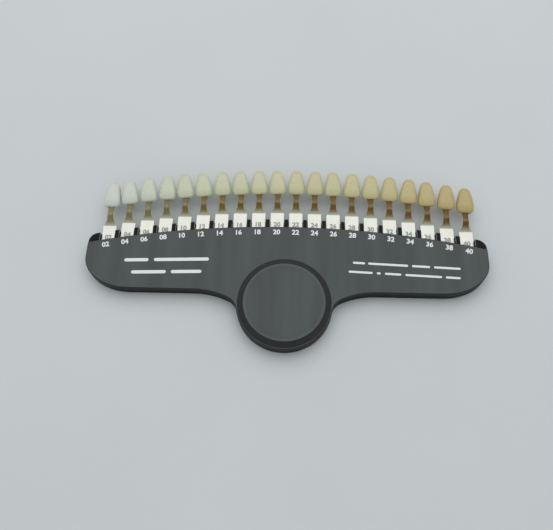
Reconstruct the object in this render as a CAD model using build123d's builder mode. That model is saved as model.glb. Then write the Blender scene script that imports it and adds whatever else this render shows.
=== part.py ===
from build123d import *
import os
from math import acos, atan2, degrees, hypot, sqrt

os.makedirs("parts", exist_ok=True)

# A dental shade guide lying on its back. A two-shell holder with a round thumb boss carries a comb
# of channels along its arched edge, and a removable shade tab stands in each channel. X runs along
# the row, Y from the boss towards the teeth, Z up out of the printed face. The origin is on the
# resting face, at the middle of the overall footprint. All sizes are in millimetres.

# Row of tabs
tab_count = 20
tab_pitch = 9.33
tab_arc_radius = 445.0
first_code = 2
code_step = 2

# Holder outline, measured from the centre of the boss
end_half_width = 97.6
edge_crest = 39.85
edge_arc_radius = 470.0
comb_reach = 4.4
comb_corner_radius = 5.0
cover_corner_radius = 0.8
boss_rim_radius = 22.8
lobe_line = 5.7
lobe_end_x = 75.0
lobe_curve_top = 22.0
sweep_start_x = 43.7
sweep_radius = 40.0
throat_radius = 8.0

# Holder section
holder_thickness = 7.0
cover_thickness = 2.2
shell_floor = 1.8
shell_wall = 2.0
rib_set_down = 0.4
seam_gap = 0.1
bottom_edge_radius = 1.2
top_edge_radius = 0.4
comb_edge_radius = 0.3

# Thumb boss on the cover
boss_flat_radius = 19.3
boss_base_radius = 22.2
boss_height = 1.2
boss_edge_radius = 0.5

# Locating posts under the cover, and their sockets in the shell
post_radius = 1.5
post_length = 2.4
post_clearance = 0.05
socket_wall = 1.3
socket_end_gap = 0.2
end_post = (82.0, 14.5)
lobe_post = (46.0, 14.0)
crown_post_y = 21.0
boss_post_y = -13.0
web_thickness = 1.2

# Shank of a tab, a stamped and bent metal strip
strip_width = 6.85
strip_thickness = 0.8
side_clearance = 0.1
face_clearance = 0.05
tongue_depth = 11.0
tail_clearance = 0.2
tail_chamfer = 0.6
flat_reach = 8.95
flare_length = 4.2
flare_lead = 1.1
ramp_length = 5.2
ramp_rise = 2.85
ramp_bend_radius = 0.8
crest_radius = 4.0
neck_dip = 0.3
neck_width = 2.8
neck_top_width = 3.2
tang_length = 2.6
tang_clearance = 0.03

# Tooth of a tab
tooth_base_reach = 18.8
tooth_length = 13.3
tooth_width = 8.6
labial_height = 3.0
lingual_height = 2.7
tooth_lift = 0.2

# Degrees each tooth leans about the top of its neck, tip towards +X, first tab to last
tooth_leans = [1, -8, -6, -3, -8, -8, -5, -6, -4, -3, 0, 1, -1, 2, 2, 3, 5, 1, 4, 3]

# Crown stations: share of the length from the biting end, then shares of the half width, the
# labial height and the lingual height
crown_stations = [
    (0.00, 0.84, 0.36, 0.40),
    (0.12, 1.00, 0.80, 0.80),
    (0.40, 0.94, 1.00, 1.00),
    (0.66, 0.78, 0.96, 0.96),
    (0.90, 0.56, 0.74, 0.76),
    (1.00, 0.16, 0.20, 0.20),
]

# Heights that follow
seat_z = holder_thickness - cover_thickness
rib_top_z = holder_thickness - rib_set_down
strip_top_z = seat_z - face_clearance
strip_bottom_z = strip_top_z - strip_thickness
channel_z = strip_bottom_z - face_clearance
neck_bottom_z = strip_bottom_z + ramp_rise
tooth_z = neck_bottom_z - neck_dip + strip_thickness / 2 + tooth_lift

# Places along Y that follow, with the footprint centred on the origin
tip_reach = edge_crest + tooth_base_reach + tooth_length
boss_y = (boss_rim_radius - tip_reach) / 2
comb_crest = edge_crest + comb_reach
channel_width = strip_width + 2 * side_clearance
tail_reach = edge_crest - tongue_depth


def arc_drop(x, radius):
    return radius - sqrt(radius**2 - x**2)


def tab_x(index):
    return (index - (tab_count - 1) / 2) * tab_pitch


def tab_y(index):
    return boss_y - arc_drop(tab_x(index), tab_arc_radius)


# Where the throat arc's centre lies: it touches the boss rim from outside and the sweep arc from inside
def throat_centre():
    rim_distance = boss_rim_radius + throat_radius
    sweep_distance = sweep_radius - throat_radius
    sweep_x, sweep_y = sweep_start_x, lobe_line - sweep_radius
    apart = hypot(sweep_x, sweep_y)
    along = (apart**2 + rim_distance**2 - sweep_distance**2) / (2 * apart)
    across = sqrt(rim_distance**2 - along**2)
    unit_x, unit_y = sweep_x / apart, sweep_y / apart
    return along * unit_x - across * unit_y, along * unit_y + across * unit_x


# Outline of the holder seen from above, with the boss centre at (0, 0) and its arched edge at crest.
# An inset outline runs that far inside the same edge.
def holder_outline(crest, corner_radius, inset=0):
    throat_x, throat_y = throat_centre()
    sweep_x, sweep_y = sweep_start_x, lobe_line - sweep_radius
    rim_angle = degrees(atan2(throat_y, throat_x))
    sweep_angle = degrees(atan2(throat_y - sweep_y, throat_x - sweep_x))
    end_x = end_half_width - inset
    lobe_y = lobe_line + inset
    arc_radius = edge_arc_radius - inset
    end_y = crest - inset - arc_drop(end_x, arc_radius)
    end_angle = degrees(acos(end_x / arc_radius))
    with BuildSketch() as outline:
        with BuildLine():
            CenterArc((0, 0), boss_rim_radius - inset, -90, 90 + rim_angle)
            CenterArc(
                (throat_x, throat_y),
                throat_radius + inset,
                180 + rim_angle,
                sweep_angle - 180 - rim_angle,
            )
            CenterArc((sweep_x, sweep_y), sweep_radius + inset, sweep_angle, 90 - sweep_angle)
            Line((sweep_start_x, lobe_y), (lobe_end_x, lobe_y))
            EllipticalCenterArc(
                (lobe_end_x, lobe_curve_top),
                end_x - lobe_end_x,
                lobe_curve_top - lobe_y,
                start_angle=270,
                arc_size=90,
            )
            Line((end_x, lobe_curve_top), (end_x, end_y))
            CenterArc((0, crest - edge_arc_radius), arc_radius, end_angle, 90 - end_angle)
            mirror(about=Plane.YZ)
        make_face()
        corners = outline.vertices().filter_by_position(Axis.Y, end_y - 0.01, end_y + 0.01)
        fillet(corners, corner_radius)
    return outline.sketch


def at_boss(height):
    return Plane((0, boss_y, height))


def post_places():
    places = [(0, crown_post_y), (0, boss_post_y)]
    for x, y in (end_post, lobe_post):
        places += [(x, y), (-x, y)]
    return places


# Back shell: a tray whose thick arched edge is cut into the comb of channels
def make_back_shell():
    pocket_crest = tail_reach - tail_clearance - shell_wall
    with BuildPart() as back_shell:
        with BuildSketch(at_boss(0)):
            add(holder_outline(comb_crest, comb_corner_radius))
        extrude(amount=rib_top_z)
        fillet(back_shell.edges().group_by(Axis.Z)[0], bottom_edge_radius)
        fillet(back_shell.edges().group_by(Axis.Z)[-1], comb_edge_radius)
        # Seat of the cover, which leaves the exposed end of the comb standing beside it
        with BuildSketch(at_boss(seat_z)):
            with Locations((0, edge_crest + seam_gap - edge_arc_radius)):
                Circle(edge_arc_radius)
        extrude(amount=holder_thickness, mode=Mode.SUBTRACT)
        # Hollow under the cover, with webs that tie the sockets to the walls
        with BuildSketch(at_boss(shell_floor)):
            add(holder_outline(comb_crest, comb_corner_radius - shell_wall, shell_wall))
            with Locations((0, pocket_crest - tab_arc_radius)):
                Circle(tab_arc_radius, mode=Mode.INTERSECT)
            for x, y in post_places():
                with Locations((x, y)):
                    Circle(post_radius + socket_wall, mode=Mode.SUBTRACT)
            for x in (-lobe_post[0], 0, lobe_post[0]):
                with Locations((x, 0)):
                    Rectangle(web_thickness, 2 * comb_crest, mode=Mode.SUBTRACT)
            Rectangle(2 * lobe_end_x, web_thickness, mode=Mode.SUBTRACT)
        extrude(amount=seat_z - shell_floor, mode=Mode.SUBTRACT)
        with BuildSketch(at_boss(seat_z)):
            with Locations(post_places()):
                Circle(post_radius + post_clearance)
        extrude(amount=-(post_length + socket_end_gap), mode=Mode.SUBTRACT)
        # One channel a tab, from its closed tail out through the arched edge
        for index in range(tab_count):
            start = tab_y(index) + tail_reach - tail_clearance
            length = comb_crest - tail_reach + 2 * comb_corner_radius
            with BuildSketch(Plane((tab_x(index), start, channel_z))):
                Rectangle(channel_width, length, align=(Align.CENTER, Align.MIN))
            extrude(amount=holder_thickness, mode=Mode.SUBTRACT)
        # Rounded long edges of the ribs
        fillet(back_shell.edges().group_by(Axis.Z)[-1].filter_by(Axis.Y), comb_edge_radius)
    back_shell.part.label = "back_shell"
    return back_shell


# Front cover: the printed plate with its sloped thumb boss, and locating posts on the hidden side
def make_front_cover():
    with BuildPart() as front_cover:
        with BuildSketch(at_boss(seat_z)):
            add(holder_outline(edge_crest, cover_corner_radius))
        extrude(amount=cover_thickness)
        fillet(front_cover.edges().group_by(Axis.Z)[-1], top_edge_radius)
        with Locations(at_boss(holder_thickness)):
            Cone(
                boss_base_radius,
                boss_flat_radius,
                boss_height,
                align=(Align.CENTER, Align.CENTER, Align.MIN),
            )
        fillet(front_cover.edges().group_by(Axis.Z)[-1], boss_edge_radius)
        with BuildSketch(at_boss(seat_z)):
            with Locations(post_places()):
                Circle(post_radius)
        extrude(amount=-post_length)
    front_cover.part.label = "front_cover"
    return front_cover


# Half outline of a shank seen from above: tongue, flare, neck and the tang inside the tooth
def shank_plan():
    flat_end = edge_crest + flat_reach
    flare_end = flat_end + flare_length
    neck_end = edge_crest + tooth_base_reach
    with BuildSketch() as plan:
        with BuildLine():
            Polyline(
                (0, tail_reach),
                (strip_width / 2 - tail_chamfer, tail_reach),
                (strip_width / 2, tail_reach + tail_chamfer),
                (strip_width / 2, flat_end),
            )
            Bezier(
                (strip_width / 2, flat_end),
                (strip_width / 2 - flare_lead, flat_end + flare_lead),
                (neck_width / 2, flat_end + flare_length / 2),
                (neck_width / 2, flare_end),
            )
            Polyline(
                (neck_width / 2, flare_end),
                (neck_top_width / 2, neck_end),
                (neck_top_width / 2, neck_end + tang_length),
                (0, neck_end + tang_length),
            )
            mirror(about=Plane.YZ)
        make_face()
    return plan.sketch


# Side view of the strip: flat tongue, ramp up past the bend, and a neck that crests and dips a
# little into the tooth, as one bent sheet
def shank_side(thickness, grow):
    flat_end = edge_crest + flat_reach
    neck_end = edge_crest + tooth_base_reach + tang_length + grow
    with BuildSketch() as side:
        with BuildLine():
            FilletPolyline(
                (tail_reach, strip_bottom_z - grow),
                (flat_end, strip_bottom_z - grow),
                (flat_end + ramp_length, neck_bottom_z - grow),
                (neck_end, neck_bottom_z - neck_dip - grow),
                radius=[ramp_bend_radius, crest_radius],
            )
            offset(amount=thickness, side=Side.LEFT)
        make_face()
    return side.sketch


def make_shank(index):
    side_plane = Plane((tab_x(index), tab_y(index), 0), x_dir=(0, 1, 0), z_dir=(1, 0, 0))
    with BuildPart() as shank:
        with BuildSketch(side_plane):
            add(shank_side(strip_thickness, 0))
        extrude(amount=strip_width, both=True)
        with BuildSketch(Plane((tab_x(index), tab_y(index), 0))):
            add(shank_plan())
        extrude(amount=2 * holder_thickness, mode=Mode.INTERSECT)
    shank.part.label = f"shank_{code(index)}"
    return shank


# One section of a crown: a full labial face above its width line and a rounder lingual face below
def crown_section(half_width, labial, lingual):
    squareness = 0.68
    roundness = 0.56
    with BuildSketch() as section:
        with BuildLine():
            Bezier(
                (half_width, 0),
                (half_width, squareness * labial),
                (squareness * half_width, labial),
                (0, labial),
            )
            Bezier(
                (half_width, 0),
                (half_width, -roundness * lingual),
                (roundness * half_width, -lingual),
                (0, -lingual),
            )
            mirror(about=Plane.YZ)
        make_face()
    return section.sketch


# Tooth: a crown lofted from its biting end, beside the neck, to the rounded end away from it
def make_tooth(index):
    base = Plane(
        (tab_x(index), tab_y(index) + edge_crest + tooth_base_reach, tooth_z),
        x_dir=(1, 0, 0),
        z_dir=(0, -1, 0),
    ).rotated((0, 0, -tooth_leans[index % len(tooth_leans)]))
    with BuildPart() as tooth:
        for share, width_share, labial_share, lingual_share in crown_stations:
            with BuildSketch(base.offset(-share * tooth_length)):
                add(
                    crown_section(
                        width_share * tooth_width / 2,
                        labial_share * labial_height,
                        lingual_share * lingual_height,
                    )
                )
        loft()
        # Slot that the tang is cemented into
        side_plane = Plane((tab_x(index), tab_y(index), 0), x_dir=(0, 1, 0), z_dir=(1, 0, 0))
        with BuildSketch(side_plane):
            add(shank_side(strip_thickness + 2 * tang_clearance, tang_clearance))
        extrude(amount=neck_top_width / 2 + tang_clearance, both=True, mode=Mode.SUBTRACT)
    tooth.part.label = f"tooth_{code(index)}"
    return tooth


def code(index):
    return f"{first_code + code_step * index:02d}"


back_shell = make_back_shell()
export_step(back_shell.part, "parts/back_shell.step")

front_cover = make_front_cover()
export_step(front_cover.part, "parts/front_cover.step")

for index in range(tab_count):
    shank = make_shank(index)
    export_step(shank.part, f"parts/{shank.part.label}.step")
    tooth = make_tooth(index)
    export_step(tooth.part, f"parts/{tooth.part.label}.step")
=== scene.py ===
from math import asin, atan2, cos, pi, radians, sin, sqrt, tan

import bmesh
import bpy
from mathutils import Matrix, Vector


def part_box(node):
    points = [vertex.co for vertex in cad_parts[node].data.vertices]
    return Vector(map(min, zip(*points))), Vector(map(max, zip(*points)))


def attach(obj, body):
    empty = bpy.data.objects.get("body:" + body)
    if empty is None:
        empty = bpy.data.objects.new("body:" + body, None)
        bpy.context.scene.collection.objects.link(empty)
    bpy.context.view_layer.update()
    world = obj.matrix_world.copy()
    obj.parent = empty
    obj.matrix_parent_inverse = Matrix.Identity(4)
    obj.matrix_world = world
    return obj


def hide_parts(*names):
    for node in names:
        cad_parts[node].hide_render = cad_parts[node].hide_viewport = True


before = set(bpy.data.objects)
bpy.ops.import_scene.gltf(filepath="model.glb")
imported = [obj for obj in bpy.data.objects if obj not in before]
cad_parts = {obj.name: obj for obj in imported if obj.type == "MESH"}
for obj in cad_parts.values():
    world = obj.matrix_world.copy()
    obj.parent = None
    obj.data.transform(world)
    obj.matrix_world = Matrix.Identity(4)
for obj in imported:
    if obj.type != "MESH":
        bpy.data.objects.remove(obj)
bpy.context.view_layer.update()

# Sizes below are millimetres, as on a maker's drawing, and become metres through mm.
# X runs along the row of teeth, Y from the thumb boss to the teeth, Z up out of the printed face.
mm = 0.001
firstCode = 2
codeStep = 2
tabCount = 20
codes = [firstCode + codeStep * index for index in range(tabCount)]
scene = bpy.context.scene

# The thumb boss is the centre of the holder's drawing. The cover reaches lowest at the boss's rim
# and highest on its top, which gives the boss's place and the height of the flat printed face.
bossRimRadius = 22.8
bossHeight = 1.2
coverLow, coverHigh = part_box("front_cover")
bossY = coverLow[1] / mm + bossRimRadius
faceZ = coverHigh[2] / mm - bossHeight


# Where a tab stands, read from its shank in the frame
def readTab(code):
    low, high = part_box(f"shank_{code:02d}")
    return {"x": (low[0] + high[0]) / 2 / mm, "tailY": low[1] / mm, "bottomZ": low[2] / mm}


tabs = [readTab(code) for code in codes]


# Small tools for materials. A written colour, 0 to 255 in each channel, becomes the linear colour
# that a shader takes.
def paint(red, green, blue):
    def linear(value):
        share = value / 255
        return share / 12.92 if share <= 0.04045 else ((share + 0.055) / 1.055) ** 2.4

    return (linear(red), linear(green), linear(blue), 1.0)


def shaded(colour, factors):
    return paint(*(min(255, channel * factor) for channel, factor in zip(colour, factors)))


def grey(value):
    return (value, value, value, 1.0)


def newMaterial(name):
    material = bpy.data.materials.new(name)
    material.use_nodes = True
    return material, material.node_tree, material.node_tree.nodes["Principled BSDF"]


def fill(tree, socket, value):
    if isinstance(value, bpy.types.NodeSocket):
        tree.links.new(value, socket)
    else:
        socket.default_value = value


def addNode(tree, kind, settings=None, inputs=None):
    node = tree.nodes.new("ShaderNode" + kind)
    for key, value in (settings or {}).items():
        setattr(node, key, value)
    for key, value in (inputs or {}).items():
        fill(tree, node.inputs[key], value)
    return node


def objectPlaces(tree):
    return addNode(tree, "TexCoord").outputs["Object"]


# Larger scales give finer detail along that axis
def stretched(tree, places, scales):
    return addNode(tree, "Mapping", {}, {"Vector": places, "Scale": scales}).outputs["Vector"]


def noise(tree, places, scale=1.0, detail=2.0, roughness=0.5):
    inputs = {"Vector": places, "Scale": scale, "Detail": detail, "Roughness": roughness}
    return addNode(tree, "TexNoise", {}, inputs).outputs["Fac"]


# Carries a range of values to another one, and holds it there
def spread(tree, value, levels, newLevels):
    inputs = {
        "Value": value,
        "From Min": levels[0],
        "From Max": levels[1],
        "To Min": newLevels[0],
        "To Max": newLevels[1],
    }
    return addNode(tree, "MapRange", {"clamp": True}, inputs).outputs["Result"]


# Noise between two levels, carried to the values that are wanted
def patches(tree, places, scale, levels, newLevels, detail=2.0):
    return spread(tree, noise(tree, places, scale, detail), levels, newLevels)


def combine(tree, operation, first, second):
    return addNode(tree, "Math", {"operation": operation}, {0: first, 1: second}).outputs[0]


def mixColour(tree, share, first, second):
    return addNode(tree, "Mix", {"data_type": "RGBA"}, {0: share, 6: first, 7: second}).outputs[2]


def ramp(tree, value, stops, ease="LINEAR"):
    node = addNode(tree, "ValToRGB", {}, {"Fac": value})
    node.color_ramp.interpolation = ease
    marks = node.color_ramp.elements
    while len(marks) < len(stops):
        marks.new(0.5)
    for mark, (place, colour) in zip(marks, stops):
        mark.position = place
        mark.color = colour
    return node.outputs["Color"]


def bump(tree, height, distance, strength, normal=None):
    inputs = {"Height": height, "Distance": distance, "Strength": strength}
    if normal is not None:
        inputs["Normal"] = normal
    return addNode(tree, "Bump", {}, inputs).outputs["Normal"]


# 1 on a face that looks straight up, 0 on an upright wall
def upwardShare(tree):
    normal = addNode(tree, "NewGeometry").outputs["Normal"]
    return addNode(tree, "SeparateXYZ", {}, {0: normal}).outputs["Z"]


# Share of the way along a piece made by ringMesh
def alongShare(tree):
    unwrapped = addNode(tree, "TexCoord").outputs["UV"]
    return addNode(tree, "SeparateXYZ", {}, {0: unwrapped}).outputs["Y"]


def roundedEdges(tree, radius, samples=6):
    return addNode(tree, "Bevel", {"samples": samples}, {"Radius": radius}).outputs["Normal"]


# 0 on a face and 1 at an edge, from how far the rounded normal turns away from the true one
def edgeWear(tree, rounded, levels=(0.99, 0.80)):
    trueNormal = addNode(tree, "NewGeometry").outputs["Normal"]
    turn = addNode(tree, "VectorMath", {"operation": "DOT_PRODUCT"}, {0: trueNormal, 1: rounded})
    return spread(tree, turn.outputs["Value"], levels, (0.0, 1.0))


# Moulded black plastic. The printed side of the cover has a grey satin face; its walls and the
# slope round the thumb boss are smooth, and painted darker than the face as painted shade.
coverFinish = {
    "faceColour": (35, 42, 41),
    "cloudColour": (48, 57, 55),
    "cloudStretch": (130, 16, 16),
    # Painted shade: the dark colour of the walls and of the slope round the thumb boss
    "paintedShadeColour": (7, 8, 8),
    "satinSlope": (0.945, 0.990),  # upward shares between which a wall turns into the satin face
    "paleEdgeColour": (96, 103, 101),
    "wear": 0.6,
    "wearSlope": (0.3, 0.7),
    "wearScale": 420.0,
    "edgeRadius": 0.30,
    "roughness": 0.34,
    "wallRoughness": 0.60,
    "handling": (-0.03, 0.04),
    "handlingScale": 55.0,
    "scuffing": 0.09,
    "scuffStretch": (900, 90, 90),
    "grainScale": 3200.0,
    "grainDepth": 0.006,
    "grainStrength": 0.8,
    # A painted highlight on the boss's rim, with a faint even lightening of the face and a darker
    # ring just inside the rim: distance from its middle, and how much of the pale colour shows there
    "rimHighlightRing": [
        (0.0, 0.25),
        (16.4, 0.22),
        (17.2, 0.0),
        (18.2, 0.30),
        (18.8, 1.0),
        (19.4, 0.2),
        (23.0, 0.2),
    ],
    "rimHighlight": 0.22,
    "rimHighlightReach": 40.0,
}


# Distance from the middle of the thumb boss, as a share of a reach in millimetres
def bossDistance(tree, places, reach):
    moved = {"Vector": places, "Location": (0, -bossY * mm, 0), "Scale": (1, 1, 0)}
    centred = addNode(tree, "Mapping", {}, moved).outputs["Vector"]
    length = addNode(tree, "VectorMath", {"operation": "LENGTH"}, {0: centred}).outputs["Value"]
    return combine(tree, "DIVIDE", length, reach * mm)


def makeCoverPlastic():
    finish = coverFinish
    material, tree, shader = newMaterial("coverPlastic")
    places = objectPlaces(tree)
    rounded = roundedEdges(tree, finish["edgeRadius"] * mm)
    upright = upwardShare(tree)
    face = spread(tree, upright, finish["satinSlope"], (0.0, 1.0))

    drawn = stretched(tree, places, finish["cloudStretch"])
    clouds = patches(tree, drawn, 1.0, (0.35, 0.65), (0.0, 1.0), 3.0)
    satin = mixColour(tree, clouds, paint(*finish["faceColour"]), paint(*finish["cloudColour"]))
    # Painted highlight on the rim of the thumb boss, over a faint lightening of the face
    reach = finish["rimHighlightReach"]
    rings = [(far / reach, grey(share * finish["rimHighlight"])) for far, share in finish["rimHighlightRing"]]
    paintedHighlight = ramp(tree, bossDistance(tree, places, reach), rings)
    satin = mixColour(tree, paintedHighlight, satin, paint(*finish["paleEdgeColour"]))
    # Walls and the slope round the boss take the painted shade; faces that look up take the satin
    # colour
    colour = mixColour(tree, face, paint(*finish["paintedShadeColour"]), satin)

    uneven = noise(tree, places, finish["wearScale"], 3.0)
    paleEdges = combine(tree, "MULTIPLY", edgeWear(tree, rounded), uneven)
    exposed = spread(tree, upright, finish["wearSlope"], (0.0, finish["wear"]))
    paleEdges = combine(tree, "MULTIPLY", paleEdges, exposed)
    colour = mixColour(tree, paleEdges, colour, paint(*finish["paleEdgeColour"]))

    plain = spread(tree, face, (0.0, 1.0), (finish["wallRoughness"], finish["roughness"]))
    handled = patches(tree, places, finish["handlingScale"], (0.3, 0.7), finish["handling"])
    scratched = noise(tree, stretched(tree, places, finish["scuffStretch"]), 1.0, 4.0, 0.7)
    scuffs = spread(tree, scratched, (0.60, 0.72), (0.0, finish["scuffing"]))
    roughness = combine(tree, "ADD", combine(tree, "ADD", plain, handled), scuffs)
    grain = noise(tree, places, finish["grainScale"], 3.0, 0.6)
    relief = bump(tree, grain, finish["grainDepth"] * mm, finish["grainStrength"], rounded)

    fill(tree, shader.inputs["Base Color"], colour)
    fill(tree, shader.inputs["Roughness"], roughness)
    fill(tree, shader.inputs["Normal"], relief)
    return material


# The shell under it: the same plastic, with a painted highlight along the shoulders of its ribs
shellFinish = {
    "colour": (13, 14, 14),
    "paleEdgeColour": (150, 154, 150),
    "paintedHighlight": 1.0,
    "shoulderStart": (0.10, 0.35),  # upward shares over which a shoulder leaves the wall
    "shoulderEnd": (0.99, 0.90),  # and those over which it reaches the flat top
    "patchScale": 700.0,
    "roughness": 0.40,
    "handling": (-0.05, 0.10),
    "handlingScale": 80.0,
    "shine": 0.12,
    "streakStretch": (1500, 220, 500),
    "streakDepth": 0.008,
    "streakStrength": 0.7,
    "edgeRadius": 0.26,
}


def makeShellPlastic():
    finish = shellFinish
    material, tree, shader = newMaterial("shellPlastic")
    places = objectPlaces(tree)
    rounded = roundedEdges(tree, finish["edgeRadius"] * mm)
    upright = upwardShare(tree)

    # Painted highlight: pale lines along the rounded shoulders of the ribs
    pastWall = spread(tree, upright, finish["shoulderStart"], (0.0, finish["paintedHighlight"]))
    beforeTop = spread(tree, upright, finish["shoulderEnd"], (0.0, 1.0))
    shoulder = combine(tree, "MULTIPLY", pastWall, beforeTop)
    patchy = patches(tree, places, finish["patchScale"], (0.30, 0.60), (0.35, 1.0), 3.0)
    paleEdges = combine(tree, "MULTIPLY", shoulder, patchy)
    colour = mixColour(tree, paleEdges, paint(*finish["colour"]), paint(*finish["paleEdgeColour"]))

    scale = finish["handlingScale"]
    handled = patches(tree, places, scale, (0.3, 0.7), finish["handling"], 3.0)
    streaks = noise(tree, stretched(tree, places, finish["streakStretch"]), 1.0, 3.0, 0.6)
    relief = bump(tree, streaks, finish["streakDepth"] * mm, finish["streakStrength"], rounded)

    fill(tree, shader.inputs["Base Color"], colour)
    fill(tree, shader.inputs["Roughness"], combine(tree, "ADD", finish["roughness"], handled))
    fill(tree, shader.inputs["Normal"], relief)
    shader.inputs["Specular IOR Level"].default_value = finish["shine"]
    return material


def dress(node, material):
    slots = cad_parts[node].data.materials
    slots.clear()
    slots.append(material)


print("holder plastics")
dress("front_cover", makeCoverPlastic())
dress("back_shell", makeShellPlastic())


# Shade tabs, first to last. The teeth run from a cool white through ivory and straw to tan.
shadeScale = [
    (0.00, (198, 201, 193)),
    (0.16, (194, 197, 176)),
    (0.32, (192, 193, 162)),
    (0.47, (194, 190, 157)),
    (0.58, (189, 184, 146)),
    (0.68, (190, 184, 142)),
    (0.79, (187, 175, 128)),
    (1.00, (178, 159, 108)),
]

# The lacquer on their necks runs from olive to amber
neckScale = [
    (0.00, (126, 121, 86)),
    (0.14, (119, 110, 66)),
    (0.36, (110, 85, 27)),
    (0.58, (107, 78, 24)),
    (0.80, (106, 72, 20)),
    (1.00, (100, 68, 25)),
]


def fromScale(scale, share):
    for (low, first), (high, second) in zip(scale, scale[1:]):
        if share <= high:
            along = (share - low) / (high - low)
            return tuple(a + (b - a) * along for a, b in zip(first, second))
    return scale[-1][1]


enamel = {
    # Share of the way from the biting end to the neck end, and how the shade changes there
    "tints": [
        (0.00, (1.02, 1.03, 1.02)),
        (0.16, (1.01, 1.015, 1.01)),
        (0.42, (1.00, 1.00, 1.00)),
        (0.72, (1.00, 1.00, 1.00)),
        (1.00, (0.97, 0.955, 0.92)),
    ],
    "wander": 0.05,
    "wanderScale": 260.0,
    "fleck": (1.03, 1.03, 1.02),
    "fleckShare": 0.5,
    "fleckScale": 600.0,
    "roughness": 0.29,
    "roughSpread": (-0.04, 0.05),
    "roughScale": 420.0,
    "bandPitch": 0.45,
    "bandShare": 0.6,
    "pitShare": 0.1,
    "pitScale": 1000.0,
    "reliefDepth": 0.004,
    "reliefStrength": 0.4,
    "scatterWeight": 0.30,
    "scatterReach": (1.0, 0.8, 0.55),
}


# Fine growth bands across the tooth. The wave pattern makes about 3.2 bands for 1 of its scale.
def growthBands(tree, bandsPerScale=3.2):
    settings = {"wave_type": "BANDS", "bands_direction": "Y"}
    inputs = {
        "Vector": addNode(tree, "TexCoord").outputs["UV"],
        "Scale": crown["length"] / enamel["bandPitch"] / bandsPerScale,
        "Distortion": 2.5,
        "Detail": 2.0,
        "Detail Scale": 1.2,
    }
    return addNode(tree, "TexWave", settings, inputs).outputs["Fac"]


def makeEnamel(name, shade):
    material, tree, shader = newMaterial(name)
    places = objectPlaces(tree)
    shift = (-enamel["wander"], enamel["wander"])
    wander = patches(tree, places, enamel["wanderScale"], (0.3, 0.7), shift)
    along = combine(tree, "ADD", alongShare(tree), wander)
    stops = [(place, shaded(shade, tint)) for place, tint in enamel["tints"]]
    colour = ramp(tree, along, stops, "EASE")
    most = (0.0, enamel["fleckShare"])
    flecks = patches(tree, places, enamel["fleckScale"], (0.35, 0.65), most)
    colour = mixColour(tree, flecks, colour, shaded(shade, enamel["fleck"]))

    rough = tuple(enamel["roughness"] + change for change in enamel["roughSpread"])
    roughness = patches(tree, places, enamel["roughScale"], (0.3, 0.7), rough)
    bands = combine(tree, "MULTIPLY", growthBands(tree), enamel["bandShare"])
    pits = combine(tree, "MULTIPLY", noise(tree, places, enamel["pitScale"]), enamel["pitShare"])
    height = combine(tree, "ADD", bands, pits)
    relief = bump(tree, height, enamel["reliefDepth"] * mm, enamel["reliefStrength"])

    fill(tree, shader.inputs["Base Color"], colour)
    fill(tree, shader.inputs["Roughness"], roughness)
    fill(tree, shader.inputs["Normal"], relief)
    shader.inputs["Subsurface Weight"].default_value = enamel["scatterWeight"]
    shader.inputs["Subsurface Radius"].default_value = enamel["scatterReach"]
    shader.inputs["Subsurface Scale"].default_value = mm
    return material


# Steel of a tab: bright where it lies flat, and lacquered up the neck. Past the bend its colours
# also paint light along the strip: the dulled ramp and the dark stop before the crest are painted
# shade, and the pale stop on the crest is a painted highlight. A stop is millimetres from the bend,
# the bare colour, the share of the neck's tint over it, how metallic it is, and a factor of painted
# shade that darkens it.
flatSteel = (196, 196, 187)
steel = {
    "stops": [
        (-0.60, flatSteel, 0.00, 1.00, 1.00),
        (-0.15, (188, 188, 177), 0.00, 1.00, 1.00),
        (0.25, (196, 196, 184), 0.00, 0.50, 1.00),
        (1.00, (170, 165, 142), 0.00, 0.15, 1.00),
        (2.20, (134, 126, 90), 0.40, 0.10, 1.00),
        (3.20, (112, 96, 54), 0.90, 0.10, 1.00),
        # Painted shade at 4.4 mm, then a painted highlight on the crest at 5.4 mm
        (4.40, (100, 84, 40), 1.00, 0.10, 0.92),
        (5.40, (168, 156, 122), 0.55, 0.15, 1.00),
        (6.40, (130, 112, 70), 0.85, 0.10, 1.00),
        (7.80, (110, 90, 40), 1.00, 0.05, 0.98),
    ],
    "wander": 0.012,
    "wanderScale": 500.0,
    "wanderStart": (1.0, 2.4),  # past the bend, so that the flat keeps a clean edge
    "smear": 0.08,
    "smearShade": (0.66, 0.65, 0.62),
    "smearScale": 240.0,
    "roughness": 0.32,
    "roughSpread": (-0.04, 0.06),
    "shine": 0.20,
    "brushStretch": (9000, 260, 2600),
    "brushDepth": 0.003,
    "brushStrength": 0.5,
}


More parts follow.
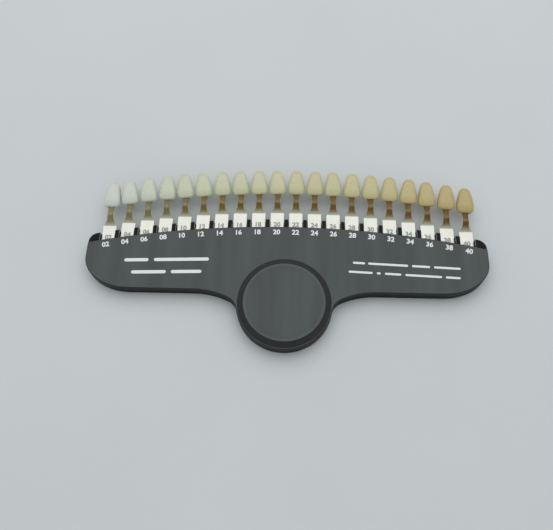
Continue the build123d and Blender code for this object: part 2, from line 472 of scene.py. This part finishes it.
def makeShankSteel(name, tint):
    material, tree, shader = newMaterial(name)
    places = objectPlaces(tree)
    length = stripReach()
    bend = strip["flatLength"] / length
    along = alongShare(tree)
    start = tuple(bend + distance / length for distance in steel["wanderStart"])
    pastBend = spread(tree, along, start, (0.0, 1.0))
    shift = (-steel["wander"], steel["wander"])
    wander = patches(tree, places, steel["wanderScale"], (0.3, 0.7), shift)
    along = combine(tree, "ADD", along, combine(tree, "MULTIPLY", wander, pastBend))

    colourStops, metalStops = [], []
    for distance, bare, tinted, metallic, paintedShadeFactor in steel["stops"]:
        mixed = [(a * (1 - tinted) + b * tinted) * paintedShadeFactor for a, b in zip(bare, tint)]
        colourStops.append((bend + distance / length, paint(*mixed)))
        metalStops.append((bend + distance / length, grey(metallic)))
    colour = ramp(tree, along, colourStops)
    metal = ramp(tree, along, metalStops)
    most = (0.0, steel["smear"])
    smear = patches(tree, places, steel["smearScale"], (0.35, 0.65), most, 3.0)
    colour = mixColour(tree, smear, colour, shaded(flatSteel, steel["smearShade"]))

    brush = noise(tree, stretched(tree, places, steel["brushStretch"]), 1.0, 3.0, 0.6)
    rough = tuple(steel["roughness"] + change for change in steel["roughSpread"])
    relief = bump(tree, brush, steel["brushDepth"] * mm, steel["brushStrength"])

    fill(tree, shader.inputs["Base Color"], colour)
    fill(tree, shader.inputs["Metallic"], metal)
    fill(tree, shader.inputs["Roughness"], spread(tree, brush, (0.25, 0.75), rough))
    fill(tree, shader.inputs["Normal"], relief)
    shader.inputs["Specular IOR Level"].default_value = steel["shine"]
    return material


# Curves and meshes that the shanks and teeth share
def smoothStep(share):
    share = min(1.0, max(0.0, share))
    return share * share * (3 - 2 * share)


def bezier(first, second, third, fourth, share):
    rest = 1 - share
    return (
        rest**3 * first
        + 3 * rest**2 * share * second
        + 3 * rest * share**2 * third
        + share**3 * fourth
    )


def addPiece(name, mesh):
    piece = bpy.data.objects.new(name, mesh)
    scene.collection.objects.link(piece)
    return piece


# Mesh of rings: each ring is a closed loop of points, and the two ends are closed by a fan
def ringMesh(name, rings, marks):
    mesh = bpy.data.meshes.new(name)
    shape = bmesh.new()
    uvLayer = shape.loops.layers.uv.new("along")
    count = len(rings[0])
    loops = [[shape.verts.new(point) for point in ring] for ring in rings]

    def face(corners, uvs):
        made = shape.faces.new(corners)
        made.smooth = True
        for loop, uv in zip(made.loops, uvs):
            loop[uvLayer].uv = uv

    for row in range(len(rings) - 1):
        for step in range(count):
            after = (step + 1) % count
            low, high = marks[row], marks[row + 1]
            around, beyond = step / count, (step + 1) / count
            face(
                [loops[row][step], loops[row][after], loops[row + 1][after], loops[row + 1][step]],
                [(around, low), (beyond, low), (beyond, high), (around, high)],
            )
    for row, mark in ((0, marks[0]), (len(rings) - 1, marks[-1])):
        middle = shape.verts.new(sum((Vector(point) for point in rings[row]), Vector()) / count)
        for step in range(count):
            pair = [loops[row][step], loops[row][(step + 1) % count]]
            if row == 0:
                pair.reverse()
            face(pair + [middle], [(step / count, mark)] * 3)
    bmesh.ops.recalc_face_normals(shape, faces=shape.faces)
    shape.to_mesh(mesh)
    shape.free()
    return addPiece(name, mesh)


# Shank: a stamped strip, bent up past the flat, flared down to a neck that crests before the tooth
strip = {
    "width": 6.85,
    "thickness": 0.8,
    "edgeRadius": 0.14,
    "edgeBand": 0.16,
    "tailChamfer": 0.6,
    "flatLength": 19.95,
    "flareLength": 4.2,
    "flareLead": 1.1,
    "neckWidth": 2.8,
    "neckTopWidth": 3.2,
    "waist": 0.6,
    "waistLean": 0.8,
    "rampLength": 5.2,
    "rampRise": 2.85,
    "bendRadius": 0.8,
    "crestRadius": 4.0,
    "neckDip": 0.3,
    "neckEnd": 29.8,
    "tangLength": 2.6,
    "tangClearance": 0.05,
}


# How far the strip reaches from its tail to the end of the tang inside the tooth
def stripReach():
    return strip["neckEnd"] + strip["tangLength"] - strip["tangClearance"]


# Points along a bent line, each with its angle: straight runs joined by arcs at the corners
def bentLine(corners, radii, runPieces=8, arcPieces=8):
    angles = [atan2(b[1] - a[1], b[0] - a[0]) for a, b in zip(corners, corners[1:])]
    shares = [(1 - cos(pi * step / runPieces)) / 2 for step in range(runPieces + 1)]
    line = []
    lastY, lastZ = corners[0]
    for index, angle in enumerate(angles):
        endY, endZ = corners[index + 1]
        turn = angles[index + 1] - angle if index < len(radii) else 0.0
        reach = radii[index] * tan(abs(turn) / 2) if index < len(radii) else 0.0
        endY -= reach * cos(angle)
        endZ -= reach * sin(angle)
        for share in shares:
            line.append((lastY + (endY - lastY) * share, lastZ + (endZ - lastZ) * share, angle))
        lastY, lastZ = endY, endZ
        if index < len(radii):
            side = 1 if turn > 0 else -1
            swing = side * radii[index]
            centreY, centreZ = endY - swing * sin(angle), endZ + swing * cos(angle)
            for step in range(1, arcPieces):
                bent = angle + turn * step / arcPieces
                line.append((centreY + swing * sin(bent), centreZ - swing * cos(bent), bent))
            lastY = centreY + swing * sin(angle + turn)
            lastZ = centreZ - swing * cos(angle + turn)
    return line


# Under side of the strip, with its tail at y = 0 and z = 0
def stripLine():
    flatEnd = strip["flatLength"]
    corners = [
        (0.0, 0.0),
        (flatEnd, 0.0),
        (flatEnd + strip["rampLength"], strip["rampRise"]),
        (stripReach(), strip["rampRise"] - strip["neckDip"]),
    ]
    return bentLine(corners, [strip["bendRadius"], strip["crestRadius"]])


def flareWidth(y, steps=24):
    half, neckHalf = strip["width"] / 2, strip["neckWidth"] / 2
    length, lead = strip["flareLength"], strip["flareLead"]
    low = (0.0, half)
    for step in range(1, steps + 1):
        share = step / steps
        reach = bezier(0.0, lead, length / 2, length, share)
        across = bezier(half, half - lead, neckHalf, neckHalf, share)
        if reach >= y:
            along = (y - low[0]) / (reach - low[0])
            return 2 * (low[1] + (across - low[1]) * along)
        low = (reach, across)
    return 2 * neckHalf


def stripWidth(y):
    flareEnd = strip["flatLength"] + strip["flareLength"]
    if y < strip["tailChamfer"]:
        return strip["width"] - 2 * (strip["tailChamfer"] - y)
    if y <= strip["flatLength"]:
        return strip["width"]
    if y < flareEnd:
        return flareWidth(y - strip["flatLength"])
    share = min(1.0, (y - flareEnd) / (strip["neckEnd"] - flareEnd))
    waist = strip["waist"] * sin(pi * share ** strip["waistLean"]) ** 2
    return strip["neckWidth"] + (strip["neckTopWidth"] - strip["neckWidth"]) * share - waist


# Section of the strip: round edges, and a narrow band inside them that keeps the broad faces flat
def stripSection(half):
    corner, band = strip["edgeRadius"], strip["edgeBand"]
    deep = strip["thickness"]
    section = []
    for sideX, sideZ, startAngle in ((1, 1, 0), (-1, 1, 90), (-1, -1, 180), (1, -1, 270)):
        inner = (sideX * (half - corner - band), deep / 2 + sideZ * deep / 2)
        arc = []
        for turn in (0, 30, 60, 90):
            swing = radians(startAngle + turn)
            across = sideX * (half - corner) + corner * cos(swing)
            above = deep / 2 + sideZ * (deep / 2 - corner) + corner * sin(swing)
            arc.append((across, above))
        section += arc + [inner] if sideX * sideZ > 0 else [inner] + arc
    return section


def makeShank(code, body, tab):
    rings, marks = [], []
    line = stripLine()
    for y, z, angle in line:
        ring = []
        for across, above in stripSection(stripWidth(y) / 2):
            pointX = tab["x"] + across
            pointY = tab["tailY"] + y - above * sin(angle)
            pointZ = tab["bottomZ"] + z + above * cos(angle)
            ring.append((pointX * mm, pointY * mm, pointZ * mm))
        rings.append(ring)
        marks.append(y / line[-1][0])
    piece = ringMesh(f"metal_shank_{code:02d}", rings, marks)
    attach(piece, body)
    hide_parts(f"shank_{code:02d}")
    return piece


# Tooth: crown sections along its length, from the biting end beside the neck to the rounded end
crown = {
    "length": 14.02,
    "width": 8.6,
    "labialHeight": 2.98,
    "lingualHeight": 2.7,
    "lift": 0.2,
    # Share of the length, then shares of the width, of the outer height and of the inner height
    "stations": [
        (0.00, 0.88, 0.36, 0.38),
        (0.06, 0.95, 0.58, 0.56),
        (0.21, 1.00, 0.86, 0.86),
        (0.40, 0.96, 0.98, 1.00),
        (0.64, 0.81, 0.98, 0.98),
        (0.84, 0.65, 0.83, 0.86),
        (0.94, 0.46, 0.56, 0.62),
        (0.98, 0.30, 0.34, 0.36),
        (1.00, 0.10, 0.10, 0.10),
    ],
    "squareness": 0.76,
    "roundness": 0.58,
    "cornerRound": 0.12,
    "cornerInset": 1.10,
    "endCurve": 0.45,
    "endReach": 0.20,
    "edgeRound": 0.035,
    "edgeInset": 0.50,
    "baseShift": -0.75,
    "lobes": 3,
    "lobeDepth": 0.07,
    "lobeStart": 0.08,
    "lobeEnd": 0.75,
    "lobeFade": 0.6,
    "rings": 46,
    "around": 56,
}

# Degrees each tooth leans about the top of its neck, tip towards +X, first tab to last
toothLeans = [1, -8, -6, -3, -8, -8, -5, -6, -4, -3, 0, 1, -1, 2, 2, 3, 5, 1, 4, 3]


# A smooth curve through the stations, for one of their columns
def stationValue(share, column):
    stations = crown["stations"]
    for row in range(len(stations) - 1):
        if share <= stations[row + 1][0]:
            break
    first, second = stations[row], stations[row + 1]
    before = stations[max(row - 1, 0)]
    after = stations[min(row + 2, len(stations) - 1)]
    width = second[0] - first[0]
    step = (share - first[0]) / width
    slopeIn = (second[column] - before[column]) / (second[0] - before[0]) * width
    slopeOut = (after[column] - first[column]) / (after[0] - first[0]) * width
    square, cube = step**2, step**3
    return (
        (2 * cube - 3 * square + 1) * first[column]
        + (cube - 2 * square + step) * slopeIn
        + (3 * square - 2 * cube) * second[column]
        + (cube - square) * slopeOut
    )


# Point of a crown section at a turn from 0 to 1, starting at the +X side and passing over the face
def crownPoint(turn, half, labial, lingual):
    quarter = turn * 4
    upper = quarter <= 2
    height = labial if upper else -lingual
    bulge = crown["squareness"] if upper else crown["roundness"]
    side = 1 if quarter < 1 or quarter > 3 else -1
    fromSide = quarter % 2 if quarter % 2 <= 1 else 2 - quarter % 2
    x = bezier(half, half, bulge * half, 0, fromSide)
    z = bezier(0, bulge * height, height, height, fromSide)
    return side * x, z


# 1 at the biting end and 0 past the reach of its rounding, along a quarter circle
def roundedStart(share, reach):
    return 1 - sqrt(1 - (1 - share / reach) ** 2) if share < reach else 0.0


# How deep the shallow grooves between the lobes of the outer face are at a point, from 0 down to -1
def lobeGroove(x, z, half, labial, tiny=1e-6):
    wave = cos(crown["lobes"] * pi * x / (half + tiny)) * (z / (labial + tiny)) ** 2
    return (wave - 1) / 2


def makeTooth(code, body, tab, lean):
    along = Vector((sin(radians(lean)), cos(radians(lean)), 0))
    across = Vector((cos(radians(lean)), -sin(radians(lean)), 0))
    neckHeight = strip["rampRise"] - strip["neckDip"] + strip["thickness"] / 2
    baseY = tab["tailY"] + strip["neckEnd"]
    base = Vector((tab["x"], baseY, tab["bottomZ"] + neckHeight + crown["lift"]))
    rings, marks = [], []
    for row in range(crown["rings"]):
        share = (1 - cos(pi * row / (crown["rings"] - 1))) / 2
        half = stationValue(share, 1) * crown["width"] / 2
        labial = stationValue(share, 2) * crown["labialHeight"]
        lingual = stationValue(share, 3) * crown["lingualHeight"]
        half -= crown["cornerInset"] * roundedStart(share, crown["cornerRound"])
        labial -= crown["edgeInset"] * roundedStart(share, crown["edgeRound"])
        lingual -= crown["edgeInset"] * roundedStart(share, crown["edgeRound"])
        fade = smoothStep((crown["lobeEnd"] - share) / crown["lobeFade"])
        fade *= smoothStep(share / crown["lobeStart"])
        nearEnd = smoothStep(1 - share / crown["endReach"])
        ring = []
        for step in range(crown["around"]):
            x, z = crownPoint(step / crown["around"], half, labial, lingual)
            if z > 0:
                z += crown["lobeDepth"] * fade * lobeGroove(x, z, half, labial)
            curved = crown["endCurve"] * (x / crown["width"] * 2) ** 2 * nearEnd
            reach = crown["baseShift"] + share * crown["length"] + curved
            ring.append((base + across * x + along * reach + Vector((0, 0, z))) * mm)
        rings.append(ring)
        marks.append(share)
    piece = ringMesh(f"crown_{code:02d}", rings, marks)
    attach(piece, body)
    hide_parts(f"tooth_{code:02d}")
    return piece


# Numbers, as thin raised meshes of a given height lying at z = 0 and centred on the origin
def numberMesh(words, height, thickness, boldness):
    letters = bpy.data.curves.new("letters", "FONT")
    letters.body = words
    letters.size = height * mm
    letters.offset = boldness * mm
    letters.extrude = thickness * mm / 2
    letters.resolution_u = 3
    holder = addPiece("letters", letters)
    bpy.context.view_layer.update()
    shown = holder.evaluated_get(bpy.context.evaluated_depsgraph_get())
    mesh = bpy.data.meshes.new_from_object(shown)
    bpy.data.objects.remove(holder)
    bpy.data.curves.remove(letters)
    xs = [vertex.co.x for vertex in mesh.vertices]
    ys = [vertex.co.y for vertex in mesh.vertices]
    scale = height * mm / (max(ys) - min(ys))
    middle = ((max(xs) + min(xs)) / 2, (max(ys) + min(ys)) / 2, -thickness * mm / 2)
    for vertex in mesh.vertices:
        vertex.co -= Vector(middle)
        vertex.co.x *= scale
        vertex.co.y *= scale
    return mesh


# One piece out of several meshes, each with its place
def joinedPiece(name, parts):
    shape = bmesh.new()
    for mesh, place in parts:
        mesh.transform(place)
        shape.from_mesh(mesh)
    whole = bpy.data.meshes.new(name)
    shape.to_mesh(whole)
    shape.free()
    return addPiece(name, whole)


def flatPlace(x, y, z, angle):
    return Matrix.Translation((x * mm, y * mm, z * mm)) @ Matrix.Rotation(angle, 4, "Z")


ink = {
    "thinShade": (0.72, 0.74, 0.74),
    "thinShare": 0.22,
    "thinScale": 1500.0,
    "roughSpread": (-0.05, 0.08),
    "roughScale": 2400.0,
    "grainScale": 3000.0,
    "grainDepth": 0.004,
    "grainStrength": 0.5,
}


def makeInk(name, colour, roughness):
    material, tree, shader = newMaterial(name)
    places = objectPlaces(tree)
    thin = patches(tree, places, ink["thinScale"], (0.35, 0.7), (0.0, ink["thinShare"]), 3.0)
    shade = mixColour(tree, thin, paint(*colour), shaded(colour, ink["thinShade"]))
    rough = tuple(roughness + change for change in ink["roughSpread"])
    grain = noise(tree, places, ink["grainScale"])
    relief = bump(tree, grain, ink["grainDepth"] * mm, ink["grainStrength"])
    fill(tree, shader.inputs["Base Color"], shade)
    fill(tree, shader.inputs["Roughness"], patches(tree, places, ink["roughScale"], (0.3, 0.7), rough))
    fill(tree, shader.inputs["Normal"], relief)
    return material


# Print on the cover: a number below each tab, on an arc, and plain bars on the two wings.
# A row of bars starts at a point from the boss centre and has spans of ink along its tilted line.
printing = {
    "crest": 36.87,
    "arcRadius": 464.0,
    "height": 2.75,
    "thickness": 0.03,
    "boldness": 0.10,
    "colour": (226, 230, 229),
    "roughness": 0.5,
    "rows": [
        {
            "start": (-78.2, 20.1),
            "tilt": 1.9,
            "barHeight": 1.7,
            "spans": [(0.0, 11.8), (14.4, 41.2)],
        },
        {
            "start": (-74.1, 13.8),
            "tilt": 1.8,
            "barHeight": 1.7,
            "spans": [(0.0, 16.8), (19.2, 34.0)],
        },
        {
            "start": (32.5, 21.0),
            "tilt": -2.4,
            "barHeight": 1.1,
            "spans": [(0.0, 5.9), (7.3, 26.4), (28.2, 36.8), (38.6, 51.2)],
        },
        {
            "start": (30.4, 16.3),
            "tilt": -2.5,
            "barHeight": 1.1,
            "spans": [(0.0, 11.4), (13.4, 15.2), (17.2, 25.0), (26.9, 44.2), (45.9, 52.9)],
        },
    ],
}


# A bar with round ends, lying at z = 0 from x = 0
def barMesh(length, height, thickness, steps=8):
    mesh = bpy.data.meshes.new("bar")
    shape = bmesh.new()
    radius = height / 2
    outline = []
    for centre, start in ((length - radius, -90), (radius, 90)):
        for step in range(steps + 1):
            angle = radians(start + 180 * step / steps)
            outline.append((centre + radius * cos(angle), radius * sin(angle)))
    bottom = [shape.verts.new((x * mm, y * mm, 0)) for x, y in outline]
    top = [shape.verts.new((x * mm, y * mm, thickness * mm)) for x, y in outline]
    shape.faces.new(list(reversed(bottom)))
    shape.faces.new(top)
    for step in range(len(outline)):
        after = (step + 1) % len(outline)
        shape.faces.new([bottom[step], bottom[after], top[after], top[step]])
    shape.to_mesh(mesh)
    shape.free()
    return mesh


def arcDrop(x, radius):
    return radius - sqrt(radius**2 - x**2)


def makePrint():
    height, thickness = printing["height"], printing["thickness"]
    radius = printing["arcRadius"]
    numbers = []
    for code, tab in zip(codes, tabs):
        y = bossY + printing["crest"] - arcDrop(tab["x"], radius)
        mesh = numberMesh(f"{code:02d}", height, thickness, printing["boldness"])
        numbers.append((mesh, flatPlace(tab["x"], y, faceZ, -asin(tab["x"] / radius))))
    bars = []
    for row in printing["rows"]:
        tilt = radians(row["tilt"])
        startX, startY = row["start"]
        for low, high in row["spans"]:
            x = startX + low * cos(tilt)
            y = bossY + startY + low * sin(tilt)
            mesh = barMesh(high - low, row["barHeight"], thickness)
            bars.append((mesh, flatPlace(x, y, faceZ, tilt)))
    whiteInk = makeInk("whiteInk", printing["colour"], printing["roughness"])
    for name, parts in (("printed_numbers", numbers), ("printed_bars", bars)):
        piece = joinedPiece(name, parts)
        piece.data.materials.append(whiteInk)
        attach(piece, "holder")


# Number stamped on each strip: how far from its tail, and how far it is set into the steel.
# Its grey is painted shade for the stamped recess.
stamp = {
    "reach": 13.45,
    "height": 2.7,
    "thickness": 0.012,
    "inset": 0.004,
    "boldness": 0.13,
    "colour": (158, 159, 154),
    "roughness": 0.45,
}


def makeStamp(code, body, tab, material):
    mesh = numberMesh(f"{code:02d}", stamp["height"], stamp["thickness"], stamp["boldness"])
    height = tab["bottomZ"] + strip["thickness"] - stamp["inset"]
    place = flatPlace(tab["x"], tab["tailY"] + stamp["reach"], height, 0)
    piece = joinedPiece(f"stamped_number_{code:02d}", [(mesh, place)])
    piece.data.materials.append(material)
    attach(piece, body)


print("shade tabs")
# The stamps' grey is painted shade, standing in for the recesses of stamped digits
stampShade = makeInk("paintedStampShade", stamp["colour"], stamp["roughness"])
for index, (code, tab) in enumerate(zip(codes, tabs)):
    body = f"tab_{code:02d}"
    share = index / (tabCount - 1)
    neckTint = fromScale(neckScale, share)
    shank = makeShank(code, body, tab)
    shank.data.materials.append(makeShankSteel(f"shankSteel{code:02d}", neckTint))
    tooth = makeTooth(code, body, tab, toothLeans[index])
    tooth.data.materials.append(makeEnamel(f"enamel{code:02d}", fromScale(shadeScale, share)))
    makeStamp(code, body, tab, stampShade)

print("printed face")
makePrint()


# Studio, in metres: a plain pale floor, an even sky and one large soft lamp aimed at the origin
studio = {
    "floorRadius": 4.0,
    "floorColour": (202, 206, 206),
    "cloudShade": (0.985, 0.985, 0.985),
    "cloudScale": 9.0,
    "floorRoughness": (0.62, 0.72),
    "roughScale": 600.0,
    "grainScale": 2200.0,
    "grainDepth": 0.01,
    "grainStrength": 0.4,
    "skyColour": (196, 200, 202),
    "skyStrength": 1.14,
    "lampPlace": (0.0, 0.47, 0.88),
    "lampSize": (1.5, 1.10),
    "lampGlow": 0.95,
}


def makeFloorPaper():
    material, tree, shader = newMaterial("floorPaper")
    places = objectPlaces(tree)
    colour = studio["floorColour"]
    clouds = patches(tree, places, studio["cloudScale"], (0.3, 0.7), (0.0, 1.0), 3.0)
    shade = mixColour(tree, clouds, paint(*colour), shaded(colour, studio["cloudShade"]))
    rough = patches(tree, places, studio["roughScale"], (0.3, 0.7), studio["floorRoughness"])
    grain = noise(tree, places, studio["grainScale"], 3.0)
    relief = bump(tree, grain, studio["grainDepth"] * mm, studio["grainStrength"])
    fill(tree, shader.inputs["Base Color"], shade)
    fill(tree, shader.inputs["Roughness"], rough)
    fill(tree, shader.inputs["Normal"], relief)
    return material


def makeFloor(steps=96):
    mesh = bpy.data.meshes.new("floor")
    shape = bmesh.new()
    radius = studio["floorRadius"]
    turns = [2 * pi * step / steps for step in range(steps)]
    rim = [shape.verts.new((radius * cos(turn), radius * sin(turn), 0)) for turn in turns]
    shape.faces.new(rim)
    shape.to_mesh(mesh)
    shape.free()
    floor = addPiece("floor", mesh)
    floor.data.materials.append(makeFloorPaper())


def makeLight():
    world = bpy.data.worlds.new("studioSky")
    scene.world = world
    world.use_nodes = True
    background = world.node_tree.nodes["Background"]
    background.inputs["Color"].default_value = paint(*studio["skyColour"])
    background.inputs["Strength"].default_value = studio["skyStrength"]
    lamp = bpy.data.lights.new("softbox", "AREA")
    lamp.shape = "RECTANGLE"
    lamp.size, lamp.size_y = studio["lampSize"]
    lamp.energy = studio["lampGlow"] * pi * lamp.size * lamp.size_y
    place = Vector(studio["lampPlace"])
    box = addPiece("softbox", lamp)
    box.location = place
    box.rotation_mode = "QUATERNION"
    box.rotation_quaternion = (-place).to_track_quat("-Z", "Y")


# Camera as in the photograph: place in millimetres from the boss centre, angles in degrees
lookout = {
    "fromBoss": (4.83, -97.93, 270.92),
    "azimuth": -4.404,
    "elevation": 66.045,
    "roll": -2.887,
    "focalPixels": 600.0,
    "picturePixels": 553.0,
    "sensor": 36.0,
    "clip": (0.01, 50.0),  # metres
}


def makeCamera():
    azimuth, elevation, roll = (radians(lookout[key]) for key in ("azimuth", "elevation", "roll"))
    forward = Vector((sin(azimuth) * cos(elevation), cos(azimuth) * cos(elevation), -sin(elevation)))
    level = Vector((cos(azimuth), -sin(azimuth), 0))
    right = level * cos(roll) + level.cross(forward) * sin(roll)
    up = right.cross(forward)
    turn = Matrix(
        (
            (right.x, up.x, -forward.x),
            (right.y, up.y, -forward.y),
            (right.z, up.z, -forward.z),
        )
    )
    camera = bpy.data.cameras.new("camera")
    camera.sensor_fit = "HORIZONTAL"
    camera.sensor_width = lookout["sensor"]
    camera.lens = lookout["focalPixels"] / lookout["picturePixels"] * lookout["sensor"]
    camera.clip_start, camera.clip_end = lookout["clip"]
    place = Vector(lookout["fromBoss"]) + Vector((0, bossY, 0))
    stand = addPiece("camera", camera)
    stand.matrix_world = Matrix.Translation(place * mm) @ turn.to_4x4()
    scene.camera = stand


print("studio")
makeFloor()
makeLight()
makeCamera()
scene.view_settings.view_transform = "Standard"

bpy.context.view_layer.update()
